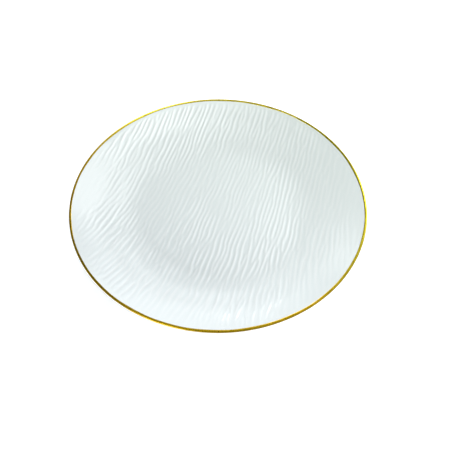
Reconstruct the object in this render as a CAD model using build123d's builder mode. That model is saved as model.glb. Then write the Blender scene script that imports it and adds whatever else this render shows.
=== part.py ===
from build123d import *
import math
import os

# An oval porcelain serving platter: a fired body with its foot ring, the glaze fused over it,
# and a gilt line fired onto the lip. Millimetres, +Z up, length along X.
# The origin is the centre of the foot's bearing plane.

# Overall size
platter_length = 360.0
platter_width = 290.0
platter_height = 30.0

# Fired coats. Real gilding is only microns thick, and 0.2 mm keeps it a sound solid.
glaze_thickness = 0.3
gilt_thickness = 0.2

# Body: distances out from the middle are along the platter's length
foot_height = 3.5  # from the bearing plane to the underside of the well
well_thickness = 5.0
well_reach = 105.0  # where the well's flat floor would meet the wall, before rounding
shoulder_reach = 145.0  # where the wall would meet the steeper rim, before rounding
rim_slope = 19.0  # degrees
shoulder_thickness = 4.6
lip_thickness = 3.2
lip_rounding = 1.45
floor_blend = 150.0  # upper face, where the floor turns up into the wall
underside_blend = 90.0  # underside, at the same turn
shoulder_blend = 200.0  # both faces, where the wall turns up into the rim
corner_drift = 2.0  # the underside's corners sit this much further out

# Foot ring: one width all round
foot_reach = 99.0
foot_width = 5.5
foot_rounding = 1.2
foot_root = 2.0  # how far the ring runs up into the body
glaze_line = 1.4  # the glaze is wiped off below this height

# Gilt line
gilt_reach_in = 3.2  # from the lip's edge, over the upper face
gilt_reach_down = 2.4  # from the top of the lip, down its outer side

# Worked out from the above
oval = platter_width / platter_length
coats = glaze_thickness + gilt_thickness
body_reach = platter_length / 2 - coats
body_top = platter_height - coats
rim_angle = math.radians(rim_slope)
rounding_loss = lip_rounding * (math.tan(rim_angle) + 1 / math.cos(rim_angle) - 1)
lip_corner = body_top + rounding_loss  # height of the lip before it is rounded
shoulder_height = lip_corner - (body_reach - shoulder_reach) * math.tan(rim_angle)
foot_outer = (foot_reach, foot_reach * oval)
foot_inner = (foot_outer[0] - foot_width, foot_outer[1] - foot_width)


def grown(ellipse_radii, growth):
    """The two radii of an ellipse, each made larger by growth."""
    return (ellipse_radii[0] + growth, ellipse_radii[1] + growth)


def platter_form(growth):
    """The platter without its foot, thickened on every side by growth.

    A section is turned about Z into a round platter, which is then narrowed to an oval.
    """
    with BuildPart() as form:
        with BuildSketch(Plane.XZ) as section:
            with BuildLine():
                upper = FilletPolyline(
                    (0, foot_height + well_thickness),
                    (well_reach, foot_height + well_thickness),
                    (shoulder_reach, shoulder_height),
                    (body_reach, lip_corner),
                    radius=[floor_blend, shoulder_blend],
                )
                lower = FilletPolyline(
                    (0, foot_height),
                    (well_reach + corner_drift, foot_height),
                    (shoulder_reach + corner_drift, shoulder_height - shoulder_thickness),
                    (body_reach, lip_corner - lip_thickness),
                    radius=[underside_blend, shoulder_blend],
                )
                Line(upper @ 1, lower @ 1)
                Line(upper @ 0, lower @ 0)
            make_face()
            fillet(section.vertices().group_by(Axis.X)[-1], radius=lip_rounding)
            if growth > 0:
                offset(amount=growth)
            Rectangle(
                platter_length,
                2 * platter_height,
                align=(Align.MAX, Align.CENTER),
                mode=Mode.SUBTRACT,
            )
        revolve(axis=Axis.Z)
        scale(by=(1, oval, 1))
    return form.part


# The fired body, with its foot ring
with BuildPart() as porcelain_body:
    with BuildSketch(Plane.XY):
        Ellipse(*foot_outer)
        Ellipse(*foot_inner, mode=Mode.SUBTRACT)
    extrude(amount=foot_height + foot_root)
    fillet(porcelain_body.faces().sort_by(Axis.Z)[0].edges(), radius=foot_rounding)
    add(platter_form(0))

# Glaze over the upper face, the lip, the underside and the outer side of the foot ring
with BuildPart() as glaze_coat_outer:
    add(platter_form(glaze_thickness))
    with BuildSketch(Plane.XY.offset(glaze_line)):
        Ellipse(*grown(foot_outer, glaze_thickness))
    extrude(amount=foot_height + foot_root - glaze_line)
    with BuildSketch(Plane.XY):
        Ellipse(*foot_outer)
    extrude(amount=foot_height + foot_root, mode=Mode.SUBTRACT)
    add(platter_form(0), mode=Mode.SUBTRACT)

# Glaze inside the foot ring, cut off from the outer coat by the wiped foot
with BuildPart() as glaze_coat_recess:
    with BuildSketch(Plane.XY.offset(glaze_line)):
        Ellipse(*foot_inner)
    extrude(amount=foot_height - glaze_line)
    with BuildSketch(Plane.XY.offset(glaze_line)):
        Ellipse(*grown(foot_inner, -glaze_thickness))
    extrude(amount=foot_height - glaze_thickness - glaze_line, mode=Mode.SUBTRACT)

# Gilt line over the lip
with BuildPart() as gilt_rim_band:
    add(platter_form(coats))
    add(platter_form(glaze_thickness), mode=Mode.SUBTRACT)
    with BuildSketch(Plane.XY):
        Ellipse(platter_length / 2 - gilt_reach_in, platter_width / 2 - gilt_reach_in)
    extrude(amount=2 * platter_height, mode=Mode.SUBTRACT)
    split(bisect_by=Plane.XY.offset(platter_height - gilt_reach_down), keep=Keep.TOP)

pieces = {
    "porcelain_body": porcelain_body,
    "glaze_coat_outer": glaze_coat_outer,
    "glaze_coat_recess": glaze_coat_recess,
    "gilt_rim_band": gilt_rim_band,
}
os.makedirs("parts", exist_ok=True)
for name, piece in pieces.items():
    piece.part.label = name
    export_step(piece.part, f"parts/{name}.step")
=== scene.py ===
import math

import bpy
import numpy as np
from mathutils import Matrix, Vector


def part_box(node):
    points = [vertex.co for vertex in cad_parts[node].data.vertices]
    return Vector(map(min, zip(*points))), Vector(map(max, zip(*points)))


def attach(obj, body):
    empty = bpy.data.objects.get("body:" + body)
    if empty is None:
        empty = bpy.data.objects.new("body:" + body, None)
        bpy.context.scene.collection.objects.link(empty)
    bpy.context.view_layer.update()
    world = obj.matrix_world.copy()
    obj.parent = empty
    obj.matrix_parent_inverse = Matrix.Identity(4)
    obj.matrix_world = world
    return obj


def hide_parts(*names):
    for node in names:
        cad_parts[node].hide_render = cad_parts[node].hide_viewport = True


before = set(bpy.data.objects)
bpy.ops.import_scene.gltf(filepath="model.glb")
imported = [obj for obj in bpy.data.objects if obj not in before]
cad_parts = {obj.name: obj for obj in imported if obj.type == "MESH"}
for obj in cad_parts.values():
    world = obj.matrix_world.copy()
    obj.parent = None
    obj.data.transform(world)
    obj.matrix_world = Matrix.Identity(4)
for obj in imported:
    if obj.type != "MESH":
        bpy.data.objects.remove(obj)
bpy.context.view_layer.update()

# Sizes are in metres, in the frame's axes: length along X, +Z up, the foot's bearing plane at 0.
MM = 0.001

# ---------------------------------------------------------------- sizes read from the frame
gilt_low, gilt_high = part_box("gilt_rim_band")
body_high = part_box("porcelain_body")[1]
coat_low, coat_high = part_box("glaze_coat_outer")
recess_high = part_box("glaze_coat_recess")[1]
HALF_LENGTH = gilt_high.x
HALF_WIDTH = gilt_high.y
OVAL = HALF_WIDTH / HALF_LENGTH
LIP_TOP = gilt_high.z
GILT_BOTTOM = gilt_low.z
BODY_REACH = body_high.x
BODY_TOP = body_high.z
GLAZE = coat_high.z - BODY_TOP
COATS = LIP_TOP - BODY_TOP
GLAZE_LINE = coat_low.z  # the glaze is wiped off the foot below this
FOOT_HEIGHT = recess_high.z
FOOT_INNER = (recess_high.x, recess_high.y)

# ---------------------------------------------------------------- the rest of the section
# Distances out from the middle are along the platter's length.
WELL_TOP = FOOT_HEIGHT + 5.0 * MM
WELL_REACH = 105.0 * MM  # where the flat floor would meet the wall
SHOULDER_REACH = 145.0 * MM  # where the wall would meet the steeper rim
RIM_SLOPE = math.radians(19.0)
SHOULDER_THICKNESS = 4.6 * MM
LIP_THICKNESS = 3.2 * MM
LIP_ROUNDING = 1.45 * MM
FLOOR_BLEND = 150.0 * MM
UNDERSIDE_BLEND = 90.0 * MM
SHOULDER_BLEND = 200.0 * MM
CORNER_DRIFT = 2.0 * MM  # the underside's corners sit this much further out
FOOT_OUTER = (99.0 * MM, 99.0 * MM * OVAL)
FOOT_ROUNDING = 1.2 * MM
GILT_REACH_IN = 3.2 * MM

LIP_CORNER = BODY_TOP + LIP_ROUNDING * (math.tan(RIM_SLOPE) + 1 / math.cos(RIM_SLOPE) - 1)
SHOULDER_HEIGHT = LIP_CORNER - (BODY_REACH - SHOULDER_REACH) * math.tan(RIM_SLOPE)
UPPER = (
    (0, WELL_TOP),
    (WELL_REACH, WELL_TOP),
    (SHOULDER_REACH, SHOULDER_HEIGHT),
    (BODY_REACH, LIP_CORNER),
), (FLOOR_BLEND, SHOULDER_BLEND)
LOWER = (
    (0, FOOT_HEIGHT),
    (WELL_REACH + CORNER_DRIFT, FOOT_HEIGHT),
    (SHOULDER_REACH + CORNER_DRIFT, SHOULDER_HEIGHT - SHOULDER_THICKNESS),
    (BODY_REACH, LIP_CORNER - LIP_THICKNESS),
), (UNDERSIDE_BLEND, SHOULDER_BLEND)

# ---------------------------------------------------------------- relief
RIPPLE_HEIGHT = 0.15 * MM  # about half of crest to hollow, before the depth changes by place
CREST_SHARPNESS = 0.22  # share of a wave twice as fine, which makes crests narrower than hollows
COARSE_STROKES = {"count": 2800, "length": 9.5 * MM, "spread": 5.2 * MM, "fineness": 1.0}
FINE_STROKES = {"count": 7000, "length": 4.5 * MM, "spread": 3.0 * MM, "fineness": 0.5}
FINE_SHARE = 0.12  # height of the fine ripples against the coarse ones
TALLEST_STROKES = 1.3  # heights that add up are held back towards this
STROKE_KNEE = 0.4
STROKE_FIELD = 1.08  # how far out the strokes' middles lie, as a share of the platter's size
STROKE_CUT = 3  # a stroke is worked out to this many of its lengths from its middle
SLANT_SCATTER = 4  # degrees
SPACING_SCATTER = 0.08
RIM_EASING = 0.65  # how much shallower the ripples are on the rim
RIM_SPAN = (0.78, 0.96)  # shares of the reach over which they become so
FAR_SIDE = (0.3, 0.7)  # shares of the half width over which that easing dies out again
# Where ripples show more or less strongly in the photo: the middle and radius of each place
# as shares of the platter's size, and the change of depth.
DEPTH_PLACES = (
    (-0.45, -0.38, 0.38, 1.0),
    (-0.22, -0.12, 0.18, 0.7),
    (-0.50, 0.25, 0.20, -0.35),
    (-0.92, 0.15, 0.16, -0.6),
    (0.12, -0.08, 0.20, -0.25),
    (0.10, -0.55, 0.30, 0.3),
    (0.55, 0.50, 0.25, 0.6),
    (0.55, -0.15, 0.30, 0.4),
    (0.45, -0.50, 0.25, 0.3),
    (-0.10, 0.75, 0.45, 0.25),
)
LEAST_GLAZE = 0.05 * MM  # what is left over the clay in the deepest hollow
RIPPLES_FADE = (173.0 * MM, 175.5 * MM)  # reach over which they die out before the gilt

# ---------------------------------------------------------------- gilt line
GILT_LEAN = 0.14  # the line is this much wider on one side, as it looks in the photo
GILT_WIDE_SIDE = math.radians(-70)
GILT_TURN = math.radians(84)  # from here out, the gold follows the rounded lip ring by ring
GILT_LAST_TURN = math.radians(4)
GILT_TURN_STEPS = 10
GILT_INNER_SHARES = (1, 0.95, 0.85)  # rings at the inner edge, as shares of how far in it lies
GILT_MIDDLE_SHARES = (0.35, 0.7)  # rings from there to the rounded lip
GILT_LOWER_LIFT = 0.08  # of the lower edge above the CAD band's, as a share of the line's width
GILT_LOWER_WANDER = 0.45  # of the lower edge against the inner one
GILT_FEATHER = 0.1 * MM  # over which the lower edge thins out
THIN_GOLD = 0.02 * MM  # thickness at both edges
WANDER_WAVES = (3, 7, 13, 22)  # waves round the platter
WANDER_SIZES = (0.015, 0.04)

# ---------------------------------------------------------------- camera, floor and light
CAMERA_ELEVATION = math.radians(77.2)
CAMERA_DISTANCE = 1.277
CAMERA_LENS = 85
OFF_CENTRE = Vector((0.0084, -0.0149, 0))  # the platter sits a little left of and above the middle

# The floor gives off light, so it stays white under the platter. The photo is cut out on white.
FLOOR_GLOW = 0.36
BACKDROP_REACH = 2.9
BACKDROP_HEIGHT = 1.0
COVE_RADIUS = 0.4
COVE_STEPS = 9
FLOOR_SPOKES = 96

ROOM_LIGHT = 0.02
LIGHT_DISTANCE = 1.0
SOFTBOX = 0.35
# Softboxes round and over the table: azimuth from +X towards +Y and elevation in degrees, and power. Their
# places and powers were chosen against the photo. The real lights aren't known.
LIGHTS = {
    "back": (110, 30, 3.4),
    "back_low": (110, 10, 4.0),
    "left_low": (245, 10, 7.0),
    "right_low": (20, 20, 7.2),
    "right_high": (20, 55, 0.8),
    "back_high": (80, 50, 0.7),
    "back_left_high": (135, 50, 0.8),
    "front_right_high": (320, 60, 1.7),
    "right_over": (10, 70, 1.0),
    "front_over": (280, 70, 0.7),
}

# ---------------------------------------------------------------- mesh fineness
COLUMNS = 350
ROWS = 176
LIP_STEPS = 6
FACE_STEPS = 20
INNER_RINGS = (30.0 * MM, 75.0 * MM)  # reach of the two innermost rings of a smooth upper face
UNDERSIDE_STEPS = 16
FOOT_STEPS = 4
RECESS_SHARES = (0.97, 0.7, 0.35)  # rings under the well, as shares of the recess
LOWER_ARC_START = -0.001  # radians: only just below straight out, where the upper arc ends
SHARP_ANGLE = math.radians(40)
SEAM_ANGLE = math.radians(12)  # the two outer glaze pieces meet here, under the gilt

rng = np.random.default_rng(7)


# ---------------------------------------------------------------- section
def blended_height(reach, section):
    """Height at each reach of straight runs between corners, with an arc at every inner corner."""
    corners, blends = section
    across, up = np.array(corners).T
    slopes = np.arctan2(np.diff(up), np.diff(across))
    height = np.interp(reach, across, up)
    for i, radius in enumerate(blends, start=1):
        before, after = slopes[i - 1], slopes[i]
        tangent = radius * math.tan((after - before) / 2)
        start = across[i] - tangent * math.cos(before)
        end = across[i] + tangent * math.cos(after)
        centre_across = start - radius * math.sin(before)
        centre_up = up[i] - tangent * math.sin(before) + radius * math.cos(before)
        drop = np.sqrt(np.maximum(radius**2 - (reach - centre_across) ** 2, 0))
        height = np.where((reach > start) & (reach < end), centre_up - drop, height)
    return height


def slope_at(reach, section):
    step = 0.05 * MM
    return (blended_height(reach + step, section) - blended_height(reach, section)) / step


def square_to(reach, section):
    """Height per thickness, for a thickness measured square to the face."""
    return np.sqrt(1 + slope_at(reach, section) ** 2)


# The lip is rounded by two arcs, one above the other. Angles are upward from straight out.
ARC_REACH = BODY_REACH - LIP_ROUNDING
UNDER_SLOPE = math.atan(slope_at(ARC_REACH, LOWER))
UPPER_ARC_HEIGHT = BODY_TOP - LIP_ROUNDING
LOWER_ARC_HEIGHT = (
    LIP_CORNER - LIP_THICKNESS
    + LIP_ROUNDING * (1 / math.cos(UNDER_SLOPE) - math.tan(UNDER_SLOPE))
)
ARC_START = math.pi / 2 + RIM_SLOPE
ARC_END = UNDER_SLOPE - math.pi / 2


def lip_point(angle, growth):
    """Reach and height of the rounded lip where its surface faces this angle."""
    height = UPPER_ARC_HEIGHT if angle > 0 else LOWER_ARC_HEIGHT
    radius = LIP_ROUNDING + growth
    return ARC_REACH + radius * math.cos(angle), height + radius * math.sin(angle)


def upper_height(reach, growth):
    """Height of the surface that stands growth off the body's upper face or rounded lip."""
    face = blended_height(reach, UPPER) + growth * square_to(reach, UPPER)
    radius = LIP_ROUNDING + growth
    arc = UPPER_ARC_HEIGHT + np.sqrt(np.maximum(radius**2 - (reach - ARC_REACH) ** 2, 0))
    return np.where(reach < lip_point(ARC_START, growth)[0], face, arc)


def lower_height(reach, growth):
    return blended_height(reach, LOWER) - growth * square_to(reach, LOWER)


# ---------------------------------------------------------------- meshes
def disc_grid(columns, rows):
    """A unit disc of four-sided faces: a rectangle of cells drawn out to a circle."""
    across, up = np.meshgrid(np.linspace(-1, 1, columns + 1), np.linspace(-1, 1, rows + 1))
    x = across * np.sqrt(1 - up**2 / 2)
    y = up * np.sqrt(1 - across**2 / 2)
    index = np.arange(x.size).reshape(x.shape)
    faces = np.stack([index[:-1, :-1], index[:-1, 1:], index[1:, 1:], index[1:, :-1]], axis=-1)
    edge = np.concatenate([index[0, :-1], index[:-1, -1], index[-1, :0:-1], index[:0:-1, 0]])
    return x.ravel(), y.ravel(), faces.reshape(-1, 4), edge


UNIT_X, UNIT_Y, GRID_FACES, GRID_EDGE = disc_grid(COLUMNS, ROWS)
SPOKE_X, SPOKE_Y = UNIT_X[GRID_EDGE], UNIT_Y[GRID_EDGE]


def oval_ring(half_length, half_width, height):
    """One oval loop of points, with a point on each spoke."""
    return np.column_stack([half_length * SPOKE_X, half_width * SPOKE_Y, height + 0 * SPOKE_X])


def reach_ring(reach, height):
    return oval_ring(reach, reach * OVAL, height)


class Surface:
    """The points and faces of one piece, added a skin at a time."""

    def __init__(self):
        self.points = []
        self.faces = []
        self.count = 0

    def add_points(self, points):
        numbers = np.arange(self.count, self.count + len(points))
        self.points.append(points)
        self.count += len(points)
        return numbers

    def join(self, first, second):
        """Faces between two loops. They face left of the way from the first to the second."""
        corners = [first, second, np.roll(second, -1), np.roll(first, -1)]
        self.faces += np.column_stack(corners).tolist()

    def add_hub(self, loop, height, reverse):
        """A fan of faces from a loop to a point on the Z axis."""
        centre = np.repeat(self.add_points(np.array([[0.0, 0.0, height]])), len(loop))
        fan = np.column_stack([loop, centre, np.roll(loop, -1)])
        self.faces += (fan[:, ::-1] if reverse else fan).tolist()

    def add_skin(self, rings, grid=None, start_hub=None, hub=None, inside=False):
        """Add a run of rings. It may start from a disc grid or a hub, and end in another hub.

        An inside skin is faced the other way. Returns the skin's first and last loop.
        """
        loops = []
        if grid is not None:
            numbers = self.add_points(grid)
            self.faces += numbers[GRID_FACES].tolist()
            loops.append(numbers[GRID_EDGE])
        loops += [self.add_points(ring) for ring in rings]
        for first, second in zip(loops, loops[1:]):
            self.join(*((second, first) if inside else (first, second)))
        if start_hub is not None:
            self.add_hub(loops[0], start_hub, reverse=not inside)
        if hub is not None:
            self.add_hub(loops[-1], hub, reverse=inside)
        return loops[0], loops[-1]

    def make_piece(self, name, material):
        mesh = bpy.data.meshes.new(name)
        mesh.from_pydata(np.concatenate(self.points).tolist(), [], self.faces)
        mesh.shade_smooth()
        mesh.set_sharp_from_angle(angle=SHARP_ANGLE)
        mesh.materials.append(material)
        piece = bpy.data.objects.new(name, mesh)
        bpy.context.collection.objects.link(piece)
        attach(piece, "root")
        return piece


def grid_points(growth, relief):
    """The upper face, standing growth off the body, as far as the rounding of the lip."""
    edge_reach = lip_point(ARC_START, growth)[0]
    x, y = edge_reach * UNIT_X, edge_reach * OVAL * UNIT_Y
    height = upper_height(edge_reach * np.hypot(UNIT_X, UNIT_Y), growth) + relief
    return np.column_stack([x, y, height])


def upper_face_rings(growth):
    """The upper face, smooth, from near the middle out to the rounding of the lip."""
    edge_reach = lip_point(ARC_START, growth)[0]
    reaches = np.append(INNER_RINGS[0], np.linspace(INNER_RINGS[1], edge_reach, FACE_STEPS))
    return [reach_ring(reach, upper_height(reach, growth)) for reach in reaches]


def upper_lip_rings(growth):
    return [
        reach_ring(*lip_point(angle, growth))
        for angle in np.linspace(ARC_START, SEAM_ANGLE, LIP_STEPS + 1)[1:]
    ]


def lower_lip_rings(growth):
    return [
        reach_ring(*lip_point(angle, growth))
        for angle in np.linspace(LOWER_ARC_START, ARC_END, LIP_STEPS)
    ]


def underside_rings(growth):
    """From the rounding of the lip in to the foot ring."""
    start = lip_point(ARC_END, growth)[0]
    reaches = np.linspace(start, FOOT_OUTER[0] + growth, UNDERSIDE_STEPS + 1)[1:]
    rings = [reach_ring(reach, lower_height(reach, growth)) for reach in reaches]
    last_height = lower_height(reaches[-1], growth)
    rings[-1] = oval_ring(FOOT_OUTER[0] + growth, FOOT_OUTER[1] + growth, last_height)
    return rings


def foot_rings():
    """Down the foot's outer side, round its edges and back up its inner side."""
    rings = []
    turns = np.linspace(0, math.pi / 2, FOOT_STEPS)
    for turn in turns:
        inset = FOOT_ROUNDING * (1 - math.cos(turn))
        height = FOOT_ROUNDING * (1 - math.sin(turn))
        rings.append(oval_ring(FOOT_OUTER[0] - inset, FOOT_OUTER[1] - inset, height))
    for turn in turns[::-1]:
        inset = FOOT_ROUNDING * (1 - math.cos(turn))
        height = FOOT_ROUNDING * (1 - math.sin(turn))
        rings.append(oval_ring(FOOT_INNER[0] + inset, FOOT_INNER[1] + inset, height))
    return rings


def recess_rings(growth):
    """Up the foot's inner side from the glaze line, and in under the well."""
    sides = (FOOT_INNER[0] - growth, FOOT_INNER[1] - growth)
    top = FOOT_HEIGHT - growth
    rings = [oval_ring(*sides, GLAZE_LINE), oval_ring(*sides, top)]
    rings += [oval_ring(sides[0] * share, sides[1] * share, top) for share in RECESS_SHARES]
    return rings


# ---------------------------------------------------------------- relief
def ripple_slant(u, v):
    """Degrees from +X to the ripples' direction, at a share of the half length and half width."""
    return 67.5 + 16.5 * u - 14.0 * u * v


def ripple_spacing(u, v):
    """Millimetres from crest to crest: wider towards both ends and the front."""
    return 5.5 + 1.3 * u**2 + 1.7 * max(-v, 0)


def carve(x, y, count, length, spread, fineness):
    """Ripple height, about -1 to 1, built up from many short overlapping runs of waves."""
    wave = np.zeros(len(x), dtype=complex)
    for _ in range(count):
        u, v = rng.uniform(-STROKE_FIELD, STROKE_FIELD, 2)
        slant = ripple_slant(u, v) + rng.normal(0, SLANT_SCATTER)
        spacing = ripple_spacing(u, v) * fineness * rng.normal(1, SPACING_SCATTER) * MM
        phase = rng.uniform(0, 2 * math.pi)
        dx, dy = x - u * HALF_LENGTH, y - v * HALF_WIDTH
        near = (np.abs(dx) < STROKE_CUT * length) & (np.abs(dy) < STROKE_CUT * length)
        dx, dy = dx[near], dy[near]
        angle = math.radians(slant)
        along = dx * math.cos(angle) + dy * math.sin(angle)
        across = dx * math.sin(angle) - dy * math.cos(angle)
        weight = np.exp(-((along / length) ** 2 + (across / spread) ** 2) / 2)
        wave[near] += weight * np.exp(1j * (2 * math.pi * across / spacing + phase))
    wave /= np.sqrt(np.mean(np.abs(wave) ** 2))
    size, turn = np.abs(wave), np.angle(wave)
    height = TALLEST_STROKES * size / (STROKE_KNEE + size)
    return height * (np.cos(turn) + CREST_SHARPNESS * np.cos(2 * turn))


def smooth_step(value, start, end):
    share = np.clip((value - start) / (end - start), 0, 1)
    return share**2 * (3 - 2 * share)


def carving_depth(u, v):
    """Depth of the ripples by place: less on the rim, but for its far side."""
    on_rim = smooth_step(np.hypot(u, v), *RIM_SPAN) * (1 - smooth_step(v, *FAR_SIDE))
    depth = 1 - RIM_EASING * on_rim
    for middle_u, middle_v, radius, change in DEPTH_PLACES:
        depth += change * np.exp(-((u - middle_u) ** 2 + (v - middle_v) ** 2) / radius**2)
    return depth


# ---------------------------------------------------------------- materials
def start_material(name):
    material = bpy.data.materials.new(name)
    material.use_nodes = True
    nodes, links = material.node_tree.nodes, material.node_tree.links
    return material, nodes, links, nodes["Principled BSDF"]


def noise(nodes, links, scale, detail=2.0):
    """Noise fixed to the object, with scale in features per metre."""
    coordinates = nodes.new("ShaderNodeTexCoord")
    texture = nodes.new("ShaderNodeTexNoise")
    texture.inputs["Scale"].default_value = scale
    texture.inputs["Detail"].default_value = detail
    links.new(coordinates.outputs["Object"], texture.inputs["Vector"])
    return texture.outputs["Fac"]


def spread(nodes, links, value, low, high, from_low=0.3, from_high=0.7):
    """The value mapped to run from low to high."""
    mapped = nodes.new("ShaderNodeMapRange")
    mapped.inputs["From Min"].default_value = from_low
    mapped.inputs["From Max"].default_value = from_high
    mapped.inputs["To Min"].default_value = low
    mapped.inputs["To Max"].default_value = high
    links.new(value, mapped.inputs["Value"])
    return mapped.outputs["Result"]


# Sockets of a Mix node that is set to colours. Their names repeat, so they go by number.
MIX_FACTOR, MIX_FIRST, MIX_SECOND, MIX_RESULT = 0, 6, 7, 2


def tint(nodes, links, factor, first, second):
    """A colour that runs from first to second."""
    mix = nodes.new("ShaderNodeMix")
    mix.data_type = "RGBA"
    mix.inputs[MIX_FIRST].default_value = (*first, 1)
    mix.inputs[MIX_SECOND].default_value = (*second, 1)
    links.new(factor, mix.inputs[MIX_FACTOR])
    return mix.outputs[MIX_RESULT]


def mix_colours(nodes, links, factor, first, second):
    """The same, between two colours that come from nodes."""
    mix = nodes.new("ShaderNodeMix")
    mix.data_type = "RGBA"
    links.new(factor, mix.inputs[MIX_FACTOR])
    links.new(first, mix.inputs[MIX_FIRST])
    links.new(second, mix.inputs[MIX_SECOND])
    return mix.outputs[MIX_RESULT]


def place_along(nodes, links, direction):
    """How far a point lies along a direction, as a share of the platter's size: about -1 to 1."""
    coordinates = nodes.new("ShaderNodeTexCoord")
    dot = nodes.new("ShaderNodeVectorMath")
    dot.operation = "DOT_PRODUCT"
    dot.inputs[1].default_value = (direction[0] / HALF_LENGTH, direction[1] / HALF_WIDTH, 0)
    links.new(coordinates.outputs["Object"], dot.inputs[0])
    return dot.outputs["Value"]


def add_bump(nodes, links, shader, height, distance):
    bump = nodes.new("ShaderNodeBump")
    bump.inputs["Distance"].default_value = distance
    links.new(height, bump.inputs["Height"])
    links.new(bump.outputs["Normal"], shader.inputs["Normal"])


def glaze_material():
    """Cool white porcelain glaze, deeper in colour between ripples.

    It is painted bluer in front and greener at the back, as it looks in the photo: a painted tint of how
    the light falls there, lit bluer in front and shaded greener at the back.
    """
    material, nodes, links, shader = start_material("glaze")
    carving = nodes.new("ShaderNodeAttribute")
    carving.attribute_name = "carving"
    crest = spread(nodes, links, carving.outputs["Fac"], 0, 1, from_low=-1, from_high=1)
    front = tint(nodes, links, crest, (0.672, 0.736, 0.753), (0.725, 0.774, 0.790))
    back = tint(nodes, links, crest, (0.665, 0.741, 0.718), (0.715, 0.778, 0.754))
    # Painted light: the base colour is tinted bluer towards the front and greener towards the back.
    place = place_along(nodes, links, (0.4, 0.9))
    far = spread(nodes, links, place, 0, 1, from_low=-0.9, from_high=0.9)
    links.new(mix_colours(nodes, links, far, front, back), shader.inputs["Base Color"])
    roughness = spread(nodes, links, noise(nodes, links, 60), 0.16, 0.24)
    links.new(roughness, shader.inputs["Roughness"])
    shader.inputs["IOR"].default_value = 1.5
    shader.inputs["Coat Weight"].default_value = 0.5
    shader.inputs["Coat Roughness"].default_value = 0.08
    add_bump(nodes, links, shader, noise(nodes, links, 260, detail=3), 0.006 * MM)
    return material


def gilt_material():
    """Fired gold, painted redder and darker at the lower left and paler at the upper right, as it looks in
    the photo: painted shade at the lower left and painted reflection at the upper right.
    """
    material, nodes, links, shader = start_material("gilt")
    wear = spread(nodes, links, noise(nodes, links, 90, detail=4), 0, 1)
    red = tint(nodes, links, wear, (0.32, 0.213, 0.006), (0.40, 0.268, 0.012))
    pale = tint(nodes, links, wear, (0.45, 0.378, 0.018), (0.55, 0.465, 0.035))
    # Painted light: darker, redder gold towards the lower left for shade, paler gold towards the upper
    # right for reflected light.
    place = place_along(nodes, links, (0.6, 0.8))
    paler = spread(nodes, links, place, 0, 1, from_low=-0.2, from_high=0.4)
    links.new(mix_colours(nodes, links, paler, red, pale), shader.inputs["Base Color"])
    shader.inputs["Metallic"].default_value = 1.0
    roughness = spread(nodes, links, noise(nodes, links, 700), 0.22, 0.42)
    links.new(roughness, shader.inputs["Roughness"])
    add_bump(nodes, links, shader, noise(nodes, links, 1500, detail=3), 0.03 * MM)
    return material


def bisque_material():
    """Bare fired clay of the foot: matt, faintly warm and sandy."""
    material, nodes, links, shader = start_material("bisque")
    grain = spread(nodes, links, noise(nodes, links, 1200, detail=4), 0, 1)
    colour = tint(nodes, links, grain, (0.62, 0.59, 0.53), (0.80, 0.78, 0.73))
    links.new(colour, shader.inputs["Base Color"])
    roughness = spread(nodes, links, noise(nodes, links, 300), 0.75, 0.95)
    links.new(roughness, shader.inputs["Roughness"])
    add_bump(nodes, links, shader, noise(nodes, links, 2200, detail=4), 0.08 * MM)
    return material


def floor_material():
    material, nodes, links, shader = start_material("floor")
    mottle = spread(nodes, links, noise(nodes, links, 3), 0, 1)
    colour = tint(nodes, links, mottle, (0.85, 0.85, 0.85), (0.87, 0.87, 0.87))
    links.new(colour, shader.inputs["Base Color"])
    shader.inputs["Roughness"].default_value = 0.9
    shader.inputs["Emission Color"].default_value = (1, 1, 1, 1)
    shader.inputs["Emission Strength"].default_value = FLOOR_GLOW
    return material


# ---------------------------------------------------------------- the platter
ripples = carve(HALF_LENGTH * UNIT_X, HALF_WIDTH * UNIT_Y, **COARSE_STROKES)
ripples += FINE_SHARE * carve(HALF_LENGTH * UNIT_X, HALF_WIDTH * UNIT_Y, **FINE_STROKES)
ripples *= carving_depth(UNIT_X, UNIT_Y)
ripples *= 1 - smooth_step(HALF_LENGTH * np.hypot(UNIT_X, UNIT_Y), *RIPPLES_FADE)
relief = RIPPLE_HEIGHT * ripples
deepest = GLAZE - LEAST_GLAZE
relief = np.where(relief < 0, deepest * np.tanh(relief / deepest), relief)

glaze = glaze_material()
gilt = gilt_material()
bisque = bisque_material()


def make_body():
    """The fired clay with its foot ring."""
    surface = Surface()
    rings = upper_face_rings(0) + upper_lip_rings(0) + lower_lip_rings(0)
    rings += underside_rings(0) + foot_rings()
    rings.append(oval_ring(*FOOT_INNER, FOOT_HEIGHT))
    surface.add_skin(rings, start_hub=WELL_TOP, hub=FOOT_HEIGHT)
    piece = surface.make_piece("fired_body", bisque)
    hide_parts("porcelain_body")


def make_upper_glaze():
    surface = Surface()
    outer = surface.add_skin(upper_lip_rings(GLAZE), grid=grid_points(GLAZE, relief))
    rings = upper_face_rings(0) + upper_lip_rings(0)
    inner = surface.add_skin(rings, start_hub=WELL_TOP, inside=True)
    surface.join(outer[1], inner[1])
    piece = surface.make_piece("glaze_upper_face", glaze)
    carving = np.zeros(surface.count)
    carving[: len(ripples)] = ripples
    attribute = piece.data.attributes.new("carving", "FLOAT", "POINT")
    attribute.data.foreach_set("value", carving)
    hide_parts("glaze_coat_outer")


def make_under_glaze():
    """From the seam under the gilt, round the lip's lower edge and in to the foot ring."""
    surface = Surface()
    skins = []
    for growth, inside in ((GLAZE, False), (0, True)):
        rings = upper_lip_rings(growth)[-1:] + lower_lip_rings(growth) + underside_rings(growth)
        foot = (FOOT_OUTER[0] + growth, FOOT_OUTER[1] + growth)
        rings.append(oval_ring(*foot, GLAZE_LINE))
        skins.append(surface.add_skin(rings, inside=inside))
    outer, inner = skins
    surface.join(outer[1], inner[1])
    surface.join(inner[0], outer[0])
    piece = surface.make_piece("glaze_underside", glaze)
    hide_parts("glaze_coat_outer")


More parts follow.
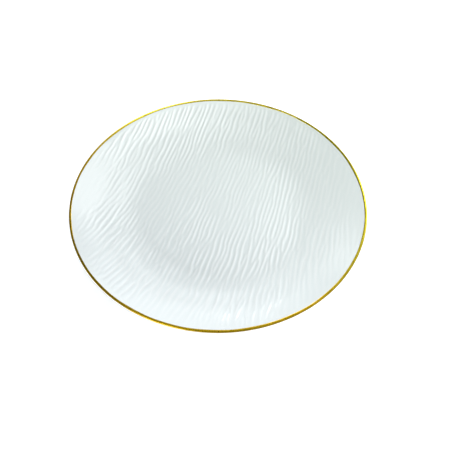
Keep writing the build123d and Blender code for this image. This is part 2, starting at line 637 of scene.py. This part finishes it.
def make_recess_glaze():
    surface = Surface()
    outer = surface.add_skin(recess_rings(GLAZE), hub=FOOT_HEIGHT - GLAZE)
    inner = surface.add_skin(recess_rings(0), hub=FOOT_HEIGHT, inside=True)
    surface.join(inner[0], outer[0])
    piece = surface.make_piece("glaze_recess", glaze)
    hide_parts("glaze_coat_recess")


def wander():
    """How far an edge of the gold strays round the platter, as a share of the line's width."""
    turn = np.arctan2(SPOKE_Y, SPOKE_X)
    return sum(
        rng.uniform(*WANDER_SIZES) * np.sin(count * turn + rng.uniform(0, 2 * math.pi))
        for count in WANDER_WAVES
    )


def make_gilt():
    """The gold line, thinning out at both edges, with the wander of a line put on by hand."""
    lean = GILT_LEAN * np.cos(np.arctan2(SPOKE_Y, SPOKE_X) - GILT_WIDE_SIDE)
    inner_edge = GILT_REACH_IN * (1 + lean + wander())
    lowest = GILT_BOTTOM + GILT_REACH_IN * (GILT_LOWER_LIFT + GILT_LOWER_WANDER * wander())
    surface = Surface()
    skins = []
    for inside in (False, True):
        rings = []
        full = GLAZE if inside else COATS
        lip_inset = HALF_LENGTH - lip_point(GILT_TURN, full)[0]
        insets = [share * inner_edge for share in GILT_INNER_SHARES]
        insets += [insets[-1] + share * (lip_inset - insets[-1]) for share in GILT_MIDDLE_SHARES]
        for i, inset in enumerate(insets):
            growth = min(GLAZE + THIN_GOLD, full) if i == 0 else full
            x, y = (HALF_LENGTH - inset) * SPOKE_X, (HALF_WIDTH - inset) * SPOKE_Y
            height = upper_height(np.hypot(x, y / OVAL), growth)
            rings.append(np.column_stack([x, y, height]))
        angles = np.linspace(GILT_TURN, GILT_LAST_TURN, GILT_TURN_STEPS)
        rings += [reach_ring(*lip_point(angle, full)) for angle in angles]
        reach = ARC_REACH + LIP_ROUNDING
        rings.append(reach_ring(reach + full, lowest))
        rings.append(reach_ring(reach + min(GLAZE + THIN_GOLD, full), lowest - GILT_FEATHER))
        skins.append(surface.add_skin(rings, inside=inside))
    outer, inner = skins
    surface.join(outer[1], inner[1])
    surface.join(inner[0], outer[0])
    piece = surface.make_piece("gilt_line", gilt)
    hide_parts("gilt_rim_band")


make_body()
make_upper_glaze()
make_under_glaze()
make_recess_glaze()
make_gilt()

# ---------------------------------------------------------------- stage
def add_camera():
    data = bpy.data.cameras.new("camera")
    data.lens = CAMERA_LENS
    camera = bpy.data.objects.new("camera", data)
    bpy.context.collection.objects.link(camera)
    target = Vector((0, 0, LIP_TOP)) + OFF_CENTRE
    back = Vector((0, -math.cos(CAMERA_ELEVATION), math.sin(CAMERA_ELEVATION)))
    camera.location = target + CAMERA_DISTANCE * back
    camera.rotation_euler = (math.pi / 2 - CAMERA_ELEVATION, 0, 0)
    bpy.context.scene.camera = camera


def add_floor():
    """A pale table top, which curves up into a low backdrop all round."""
    turns = np.linspace(0, math.pi / 2, COVE_STEPS)
    profile = [
        (BACKDROP_REACH - COVE_RADIUS * (1 - math.sin(turn)), COVE_RADIUS * (1 - math.cos(turn)))
        for turn in turns
    ]
    profile.append((BACKDROP_REACH, BACKDROP_HEIGHT))
    spokes = np.linspace(0, 2 * math.pi, FLOOR_SPOKES, endpoint=False)
    points = [(0, 0, 0)]
    for reach, height in profile:
        points += [(reach * math.cos(spoke), reach * math.sin(spoke), height) for spoke in spokes]
    count = len(spokes)
    ahead = [(i + 1) % count for i in range(count)]
    faces = [(0, 1 + i, 1 + ahead[i]) for i in range(count)]
    for ring in range(len(profile) - 1):
        first, second = 1 + ring * count, 1 + (ring + 1) * count
        faces += [(first + i, second + i, second + ahead[i], first + ahead[i]) for i in range(count)]
    mesh = bpy.data.meshes.new("floor")
    mesh.from_pydata(points, [], faces)
    mesh.shade_smooth()
    mesh.materials.append(floor_material())
    floor = bpy.data.objects.new("floor", mesh)
    bpy.context.collection.objects.link(floor)


def add_light(name, azimuth, elevation, power):
    data = bpy.data.lights.new(name, "AREA")
    data.shape = "SQUARE"
    data.size = SOFTBOX
    data.energy = power
    light = bpy.data.objects.new(name, data)
    bpy.context.collection.objects.link(light)
    turn, rise = math.radians(azimuth), math.radians(elevation)
    aim = Vector((math.cos(turn) * math.cos(rise), math.sin(turn) * math.cos(rise), math.sin(rise)))
    light.location = LIGHT_DISTANCE * aim
    light.rotation_euler = aim.to_track_quat("Z", "Y").to_euler()
    light.visible_camera = False


def add_world():
    world = bpy.data.worlds.new("studio")
    world.use_nodes = True
    background = world.node_tree.nodes["Background"]
    background.inputs["Color"].default_value = (1, 1, 1, 1)
    background.inputs["Strength"].default_value = ROOM_LIGHT
    bpy.context.scene.world = world


add_camera()
add_floor()
add_world()
for name, (azimuth, elevation, power) in LIGHTS.items():
    add_light(name, azimuth, elevation, power)
bpy.context.scene.view_settings.view_transform = "Standard"
